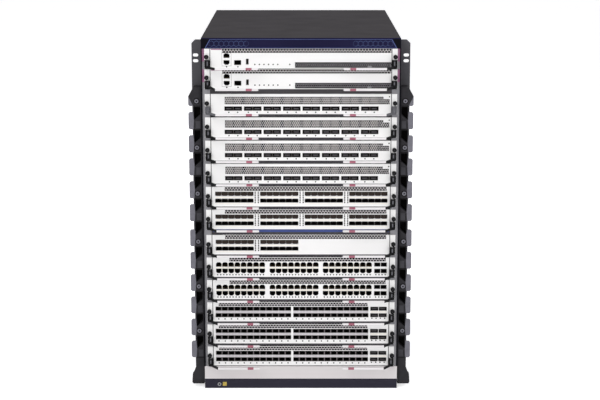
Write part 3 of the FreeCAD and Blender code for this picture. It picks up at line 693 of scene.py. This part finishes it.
def build_card(name):
    """A whole card but its levers: face, screws, brackets, cages and tray."""
    low, high = node_box(name)
    shape = Shape(name + "_look", name)
    face = FaceLayout(shape, high.z, low.z)
    face_kind(name)(face)
    face_plate(face)
    drop = 17.5 if name.startswith("control") else 20.0
    metal = arm_metal(name)
    for side in (-1, 1):
        thumbscrew(shape, side * (FACE_HALF - 4.9), high.z - drop)
        lever_bracket(shape, side, low.z + 1.0, high.z - drop - 7.0, metal)
    cage_bodies(shape, face.holes, low.z)
    tray_parts(shape, low.z, high.y)
    return shape.make([name])


# ---------------------------------------------------------------- levers
def lever_hub(shape, side, low, high, metal):
    """Eight-sided hub on its pin, with a grey stripe down its front."""
    x = side * HINGE_X
    half, flat = HUB_HALF, HUB_FLAT
    octagon = [(-half, -flat), (-flat, -half), (flat, -half), (half, -flat),
               (half, flat), (flat, half), (-flat, half), (-half, flat)]
    shape.prism([(x + a, HINGE_Y + b, low) for a, b in octagon], (0, 0, high - low), metal)
    shape.rod((x, HINGE_Y, low - 0.3), (x, HINGE_Y, high + 0.3), 1.6, STEEL, 16)
    shape.box(x - 1.3, x + 1.3, HINGE_Y - half - 0.15, HINGE_Y - half, low + 6.5, high - 1.0, GREY_ARM)


def lever_arm(shape, side, low, high, bar_low, metal):
    """Arm that slants from the hub out to the bar and takes on the bar's height."""
    half = 2.8
    top = min(low + 5.0, high)
    points = []
    elbow = (ELBOW_X, bar_low, bar_low + BAR_HEIGHT)
    for x, z0, z1 in ((HINGE_X - 1.0, low, top), (HINGE_X - 5.7, low, top), elbow):
        run = (HINGE_X - x) / (HINGE_X - ELBOW_X)
        near = HINGE_Y - half + (BAR_FRONT - HINGE_Y + half) * run
        far = HINGE_Y + half + (BAR_BACK - HINGE_Y - half) * run
        points += [(side * x, y, z) for y, z in ((near, z0), (far, z0), (far, z1), (near, z1))]
    shape.add(points, [(0, 3, 2, 1), (8, 9, 10, 11)] + side_faces(4) + side_faces(4, 4), metal)


def lever_bar(shape, side, low):
    """Bar with bevelled edges, its coloured patch, and a tip that narrows."""
    high = low + BAR_HEIGHT
    bevel = BAR_BEVEL
    middle_y, middle_z = (BAR_FRONT + BAR_BACK) / 2, (low + high) / 2
    section = [(BAR_FRONT + bevel, low), (BAR_BACK - bevel, low), (BAR_BACK, low + bevel),
               (BAR_BACK, high - bevel), (BAR_BACK - bevel, high), (BAR_FRONT + bevel, high),
               (BAR_FRONT, high - bevel), (BAR_FRONT, low + bevel)]
    tip = ELBOW_X - BAR_LENGTH
    shoulder = tip + 1.6
    stretches = ((ELBOW_X, PATCH[0], BAR, 0.0), (*PATCH, RED, 0.12), (PATCH[1], shoulder, BAR, 0.0))
    for x0, x1, material, grow in stretches:
        outline = [(side * x0, y + math.copysign(grow, y - middle_y), z + math.copysign(grow, z - middle_z))
                   for y, z in section]
        shape.prism(outline, (side * (x1 - x0), 0, 0), material)
    foot = low + 0.4
    cap = [(side * shoulder, BAR_FRONT + 0.4, foot), (side * shoulder, BAR_BACK - 0.4, foot),
           (side * tip, BAR_BACK - 1.8, foot), (side * tip, BAR_FRONT + 1.8, foot)]
    shape.prism(cap, (0, 0, BAR_HEIGHT - 0.8), BAR)


def build_lever(card, side_name):
    """Ejector lever of a card; where the bar is lower than the hub, the hub's look starts above it."""
    name = f"{card}_lever_{side_name}"
    side = 1 if side_name == "right" else -1
    low, high = node_box(name)
    bar_low = node_box(card)[0].z + 0.4
    hub_low = bar_low + 3.1 if bar_low < low.z else low.z
    shape = Shape(name + "_look", name)
    lever_hub(shape, side, hub_low, high.z, arm_metal(card))
    lever_arm(shape, side, hub_low, high.z, bar_low, arm_metal(card))
    lever_bar(shape, side, bar_low)
    return shape.make([name])


for card_name in CONTROL_CARDS + LINE_CARDS:
    build_card(card_name)
    for side_name in ("right", "left"):
        build_lever(card_name, side_name)


# ---------------------------------------------------------------- case
PLUG_EDGE = node_box("backplane")[1].y - 4.5


def case_finish(middle, normal):
    """The front flanges are bare zinc and the rest is painted."""
    if middle.y < FRONT + 5 and abs(normal.y) > 0.5 and abs(middle.x) > 198:
        return 2
    return 0


dressed_copy("chassis_shell", "chassis", [CASE, CASE_EDGE, STRIP], 0.6, case_finish, 1)
dressed_copy("lower_front_panel", "chassis", [SILVER, FACE_EDGE], 0.4, edge_index=1)
# Base band in a darker copy of the case paint: painted shade.
dressed_copy("base_band", "chassis", [SHADED_BAND], 0.5)
dressed_copy("backplane", "chassis", [BOARD, PLUG], 0.3,
             lambda middle, normal: 1 if middle.y < PLUG_EDGE else 0)
dressed_copy("card_guides", "chassis", [ZINC], 0.2)


def front_trim():
    """Coloured strips of the front, the dark lips between cards (partly shelf lips, partly painted shade of
    the gaps), the wrist-strap jack and its marker.
    """
    shape = Shape("front_trim", "chassis")
    skin = (FLANGE_FRONT - 0.15, FLANGE_FRONT + 0.1)
    inner = FACE_HALF + 0.3
    line_foot, line_top = node_box(LINE_CARDS[-1])[0].z, node_box(LINE_CARDS[0])[1].z
    for side in (-1, 1):
        for name in CONTROL_CARDS:
            top = node_box(name)[1].z
            shape.box(side * inner, side * (HALF_WIDTH - 0.8), *skin, top - 28, top, MAUVE)
        shape.box(side * inner, side * (HALF_WIDTH - 2.2), *skin, line_foot, line_top, STRIP)
        shape.box(side * (HALF_WIDTH - 2.1), side * (HALF_WIDTH + 0.1), FRONT - 0.12, FRONT + 1.0,
                  PANEL_TOP, bezel_low.z, NAVY_DARK)
    for above, below in zip(LINE_CARDS, LINE_CARDS[1:]):
        foot, top = node_box(above)[0].z, node_box(below)[1].z
        if above == LINE_CARDS[UPPER_BANK - 1]:
            shape.box(-196.0, 196.0, FLANGE_FRONT - 0.5, FLANGE_FRONT, top + 6.6, foot - 1.0, BLUE)
            # Painted shade in the gap under the divider.
            shape.box(-196.0, 196.0, FLANGE_FRONT - 0.3, FLANGE_FRONT, top + 1.2, top + 6.6, SHADE_STRIP)
        else:
            # Lip and painted shade of the gap between two cards.
            shape.box(-195.0, 195.0, FRONT + 4.0, FRONT + 4.6, top + 1.2, foot - 1.2, GAP_LIP_SHADE)
    x, z = -185.0, 10.0
    shape.rod((x, FRONT + 0.4, z), (x, FRONT - 2.4, z), 4.5, STEEL, 24, 4.1)
    # Near-black disc in the jack's mouth: painted shade of its hole.
    shape.rod((x, FRONT - 2.0, z), (x, FRONT - 2.5, z), 2.1, RECESS_SHADE, 16)
    shape.box(x + 7.5, x + 16.5, FRONT - 0.12, FRONT, z - 4.5, z + 4.5, YELLOW)
    return shape.make()


def hex_line(shape, x, z, radius, y, limits):
    """Outline of one hexagon as thin raised bars, without the sides that leave the limits."""
    outer = ring(x, z, radius, 6, 30)
    inner = ring(x, z, radius - 0.6, 6, 30)
    for k in range(6):
        after = (k + 1) % 6
        heights = (outer[k][1], outer[after][1])
        if limits[0] <= min(heights) and max(heights) <= limits[1]:
            outline = (outer[k], outer[after], inner[after], inner[k])
            shape.prism([(a, y, b) for a, b in outline], (0, 0.3, 0), HEX_BLUE)


def bezel_trim():
    """Raised outlines on the navy cover: a wide trapezoid and honeycombs towards both ends."""
    shape = Shape("bezel_trim", "chassis")
    y, line = FRONT - 0.25, 0.7
    low, high = bezel_low.z + 1.2, bezel_high.z - 1.6
    foot = bezel_low.z + 0.4
    for z, reach in ((low, 208.5), (high - line, 197.5)):
        shape.box(-reach, reach, y, FRONT + 0.05, z, z + line, STEEL_BLUE)
    edge = [(209.2, low), (207.6, low), (196.6, high), (198.2, high)]
    corner = [(210.2, foot), (217.4, foot), (217.4, high + 1.0), (199.4, high + 1.0)]
    pitch, start = 10.8, 119.0
    radius = pitch / math.sqrt(3)
    for side in (-1, 1):
        shape.prism([(side * x, y, z) for x, z in edge], (0, 0.3, 0), STEEL_BLUE)
        shape.prism([(side * x, y + 0.1, z) for x, z in corner], (0, 0.2, 0), NAVY_DARK)
        for row in (-1, 0, 1):
            z = (low + high) / 2 + row * 1.5 * radius
            first, count = (start, 8) if row == 0 else (start + pitch / 2, 7)
            for k in range(count):
                hex_line(shape, side * (first + k * pitch), z, radius, y, (low, high))
    return shape.make()


dressed_copy("front_bezel", "chassis", [NAVY], 0.3)
front_trim()
bezel_trim()


def ear_trim(side):
    """Rivets that hold an ear's side to the case."""
    shape = Shape("ear_rivets_" + ("right" if side > 0 else "left"), "chassis")
    low, high = node_box("rack_ear_right")
    rivets, margin = 9, 40
    x, y = side * (HALF_WIDTH + 2.0), FRONT + 88
    for k in range(rivets):
        z = low.z + margin + k * (high.z - low.z - 2 * margin) / (rivets - 1)
        shape.rod((x, y, z), (x + side * 1.2, y, z), 3.6, STEEL, 16, 2.4)
    return shape.make()


def guide_trim(side):
    """Cable guide details: a slit at each card, by turns a screw boss or a grooved plate, and the foot. The
    slits, the ring round each boss, its hole and the plate's groove are near-black painted shade.
    """
    shape = Shape("guide_trim_" + ("right" if side > 0 else "left"), "chassis")
    x, y = side * 229.4, GUIDE_FACE
    for k, name in enumerate(LINE_CARDS):
        slit = node_box(name)[1].z - 28.0
        if slit - 14 < PANEL_TOP:
            continue
        shape.box(side * 219.8, side * 236.4, y - 0.35, y, slit - 0.6, slit + 1.0, RECESS_SHADE)
        if k % 2 == 0:
            z = slit + 11.1
            shape.rod((x, y, z), (x, y - 0.6, z), 6.6, RECESS_SHADE, 24)
            shape.rod((x, y, z), (x, y - 1.8, z), 5.0, GUIDE_TAB, 24, 4.4)
            shape.rod((x, y - 1.8, z), (x, y - 1.9, z), 1.8, RECESS_SHADE, 16)
        else:
            shape.box(side * 221.4, side * 233.6, y - 0.5, y, slit + 2.2, slit + 18.6, GUIDE_PLATE)
            shape.box(side * 232.2, side * 233.2, y - 0.65, y - 0.1, slit + 2.6, slit + 18.2, RECESS_SHADE)
    foot = [(219.4, PANEL_TOP), (219.4, 8.0), (245.0, 8.0), (247.4, 12.0), (246.2, 31.0), (243.0, 35.0),
            (236.9, PANEL_TOP)]
    shape.prism([(side * a, y, z) for a, z in foot], (0, 12.0, 0), GUIDE)
    return shape.make()


def guide_finish(middle, normal):
    """Tabs are lighter than the rail; the floors of its recesses are near-black painted shade."""
    if abs(middle.x) > GUIDE_EDGE:
        return 1
    return 2 if normal.y < -0.3 and middle.y > GUIDE_FACE + 1 else 0


for side, word in ((1, "right"), (-1, "left")):
    dressed_copy("rack_ear_" + word, "chassis", [EAR, CASE_EDGE], 0.4, edge_index=1)
    dressed_copy("cable_guide_" + word, "chassis", [GUIDE, GUIDE_TAB, RECESS_SHADE], 0.7,
                 guide_finish)
    ear_trim(side)
    guide_trim(side)


# ---------------------------------------------------------------- rear modules
HUB_RADIUS = 32.0
BLADE_ROOT = 28.0
INLET_HALF = 15.5
INLET_INSET = 23.5  # from the case's side to the mains inlet


def finger_guard(shape, x, y, z, radius, rings):
    """Round wire guard over a fan's mouth, held by four struts."""
    for k in range(rings):
        wire = [(a, y, b) for a, b in ring(x, z, radius * (k + 1) / rings, 40)]
        shape.hoop(wire, 0.9, STEEL, 5)
    strut_y = y + 0.9
    for a, b in ring(x, z, radius + 5, 4, 45):
        shape.rod((x, strut_y, z), (a, strut_y, b), 1.1, STEEL, 6)


def module_screws(shape, low, high):
    """Knurled screws in the corners of a rear module."""
    for x in (low.x + 6, high.x - 6):
        for z in (low.z + 8, high.z - 8):
            shape.rod((x, REAR, z), (x, REAR + 3.5, z), 4.4, STEEL, 32, teeth=0.3)


def rotor_centre(name):
    """Axis of a rotor (x, z) and its front and back."""
    low, high = node_box(name)
    hinge = next(j for j in frame["joints"] if j["child"] == name)
    return hinge["pos_m"][0] / MM, hinge["pos_m"][2] / MM, low.y, high.y


def blade(shape, x, z, y0, y1, tip, turn):
    """One swept blade that twists and narrows from root to tip."""
    steps = 6
    middle = (y0 + y1) / 2
    points = []
    for s in range(steps + 1):
        run = s / steps
        radius = BLADE_ROOT + (tip - BLADE_ROOT) * run
        half = math.radians(28 - 6 * run)
        depth = (y1 - y0) * (0.34 - 0.10 * run)
        for edge in (-1, 1):
            angle = math.radians(turn + 10 * run) + edge * half
            across, up = radius * math.cos(angle), radius * math.sin(angle)
            points += [(x + across, middle + edge * depth + thick, z + up) for thick in (-1.2, 1.2)]
    faces = [(0, 1, 3, 2), (4 * steps, 4 * steps + 2, 4 * steps + 3, 4 * steps + 1)]
    for a in range(0, 4 * steps, 4):
        c = a + 4
        faces += [(a, a + 2, c + 2, c), (a + 1, c + 1, c + 3, a + 3)]
        faces += [(a, c, c + 1, a + 1), (a + 2, a + 3, c + 3, c + 2)]
    shape.add(points, faces, ROTOR, [True] * len(faces))


def build_rotor(name):
    """Domed hub with pitched blades."""
    x, z, y0, y1 = rotor_centre(name)
    low, high = node_box(name)
    shape = Shape(name + "_look", name)
    shape.rod((x, y0 + 3, z), (x, y1, z), HUB_RADIUS, ROTOR, 48)
    shape.rod((x, y0 + 3, z), (x, y0, z), HUB_RADIUS, ROTOR, 48, HUB_RADIUS - 5)
    shape.rod((x, y1, z), (x, y1 + 0.2, z), 12, CHIP, 24)
    blades = 5
    for b in range(blades):
        blade(shape, x, z, y0, y1, (high.z - low.z) / 2 - 0.5, 360 * b / blades)
    return shape.make([name])


def tray_trim(name):
    """Guards and screws of a fan tray."""
    low, high = node_box(name)
    shape = Shape(name + "_trim", name)
    number = int(name[-1])
    for rotor in ROTORS[2 * number - 2:2 * number]:
        x, z, _, _ = rotor_centre(rotor)
        finger_guard(shape, x, REAR + 1.2, z, 96, 7)
    module_screws(shape, low, high)
    return shape.make()


def handle_finish(middle, normal):
    """What stands out behind a module's plate is its black handle."""
    return 1 if middle.y > REAR + 0.5 else 0


def power_trim(name):
    """Fan guard, mains inlet, lenses and screws of a power module."""
    side = 1 if name.endswith("right") else -1
    low, high = node_box(name)
    middle, height = (low.x + high.x) / 2, (low.z + high.z) / 2
    shape = Shape(name + "_trim", name)
    finger_guard(shape, middle - side * 30, REAR + 0.8, height, 42, 5)
    inlet, base = side * (HALF_WIDTH - INLET_INSET - INLET_HALF), low.z + 26
    outer = INLET_HALF + 2
    shape.frame(inlet - outer, inlet + outer, REAR, REAR + 1.6, base - 14, base + 14, 2, JACK)
    mouth = INLET_HALF - 0.1
    shape.pocket(inlet - mouth, inlet + mouth, REAR + 0.01, REAR + 0.02, base - 11.9, base + 11.9, JACK)
    for z in (base + 26, base + 34):
        shape.rod((inlet, REAR, z), (inlet, REAR + 0.8, z), LENS_RADIUS, LENS, 12)
    module_screws(shape, low, high)
    return shape.make()


for rotor in ROTORS:
    build_rotor(rotor)
for module in ("fan_tray_1", "fan_tray_2", "power_supply_right", "power_supply_left"):
    dressed_copy(module, module, [MODULE, BLACK], 0.6, handle_finish)
    if module.startswith("fan"):
        tray_trim(module)
    else:
        power_trim(module)


# ---------------------------------------------------------------- floor, light and camera
def seen_white(tree, strength):
    """A factor for camera, mirror and glass rays, and a white emission of that strength."""

    def step(operation, first, second):
        node = tree.nodes.new("ShaderNodeMath")
        node.operation = operation
        tree.links.new(first, node.inputs[0])
        if isinstance(second, float):
            node.inputs[1].default_value = second
        else:
            tree.links.new(second, node.inputs[1])
        return node.outputs[0]

    path = tree.nodes.new("ShaderNodeLightPath").outputs
    seen = step("MAXIMUM", path["Is Camera Ray"], path["Is Glossy Ray"])
    seen = step("MAXIMUM", seen, path["Is Transmission Ray"])
    return seen, step("MULTIPLY", seen, strength)


def build_floor():
    """A wide white floor at the object's base."""
    mesh = bpy.data.meshes.new("floor")
    reach = 30.0
    corners = [(-reach, -reach, 0), (reach, -reach, 0), (reach, reach, 0), (-reach, reach, 0)]
    mesh.from_pydata(corners, [], [(0, 1, 2, 3)])
    floor = bpy.data.objects.new("floor", mesh)
    bpy.context.scene.collection.objects.link(floor)
    material = bpy.data.materials.new("floor_white")
    material.use_nodes = True
    tree = material.node_tree
    shader = tree.nodes["Principled BSDF"]
    shader.inputs["Base Color"].default_value = (0.86, 0.86, 0.87, 1)
    shader.inputs["Roughness"].default_value = 0.8
    shader.inputs["Emission Color"].default_value = (1, 1, 1, 1)
    _, strength = seen_white(tree, 0.56)
    tree.links.new(strength, shader.inputs["Emission Strength"])
    mesh.materials.append(material)


def build_world():
    """Soft light from all round, seen as plain white."""
    world = bpy.data.worlds.new("studio")
    bpy.context.scene.world = world
    world.use_nodes = True
    tree = world.node_tree
    soft = tree.nodes["Background"]
    soft.inputs["Color"].default_value = (0.98, 0.98, 1.0, 1)
    soft.inputs["Strength"].default_value = 0.45
    white = tree.nodes.new("ShaderNodeBackground")
    white.inputs["Color"].default_value = (1, 1, 1, 1)
    white.inputs["Strength"].default_value = 1.0
    mix = tree.nodes.new("ShaderNodeMixShader")
    factor, _ = seen_white(tree, 1.0)
    tree.links.new(factor, mix.inputs["Fac"])
    tree.links.new(soft.outputs["Background"], mix.inputs[1])
    tree.links.new(white.outputs["Background"], mix.inputs[2])
    tree.links.new(mix.outputs["Shader"], tree.nodes["World Output"].inputs["Surface"])


def area_light(name, place, target, size, power):
    """A square lamp at a place, aimed at a target, in metres and watts."""
    data = bpy.data.lights.new(name, "AREA")
    data.size = size
    data.energy = power
    light = bpy.data.objects.new(name, data)
    bpy.context.scene.collection.objects.link(light)
    light.location = place
    aim = Vector(target) - Vector(place)
    light.rotation_euler = aim.to_track_quat("-Z", "Y").to_euler()


build_floor()
build_world()
area_light("key", (-1.6, -3.4, 2.6), (0, -0.3, 0.4), 2.2, 76)
area_light("fill", (2.4, -2.8, 1.4), (0, -0.3, 0.4), 2.4, 34)
area_light("top", (0.2, 0.6, 3.0), (0, 0, 0.8), 2.4, 22)
area_light("back", (0.4, 3.2, 1.8), (0, 0.3, 0.4), 2.4, 45)

CAMERA_PITCH = math.radians(11.514)
CAMERA_DISTANCE = 3.4
CAMERA_X = -0.002
AIM_HEIGHT = 0.4923  # the camera looks at this height of the front
camera_data = bpy.data.cameras.new("camera")
camera_data.lens = 92.25
camera_data.shift_y = -0.04
camera = bpy.data.objects.new("camera", camera_data)
bpy.context.scene.collection.objects.link(camera)
camera.location = (CAMERA_X, FRONT * MM - CAMERA_DISTANCE * math.cos(CAMERA_PITCH),
                   AIM_HEIGHT + CAMERA_DISTANCE * math.sin(CAMERA_PITCH))
camera.rotation_euler = (math.pi / 2 - CAMERA_PITCH, 0, 0)
bpy.context.scene.camera = camera
bpy.context.scene.view_settings.view_transform = "Standard"
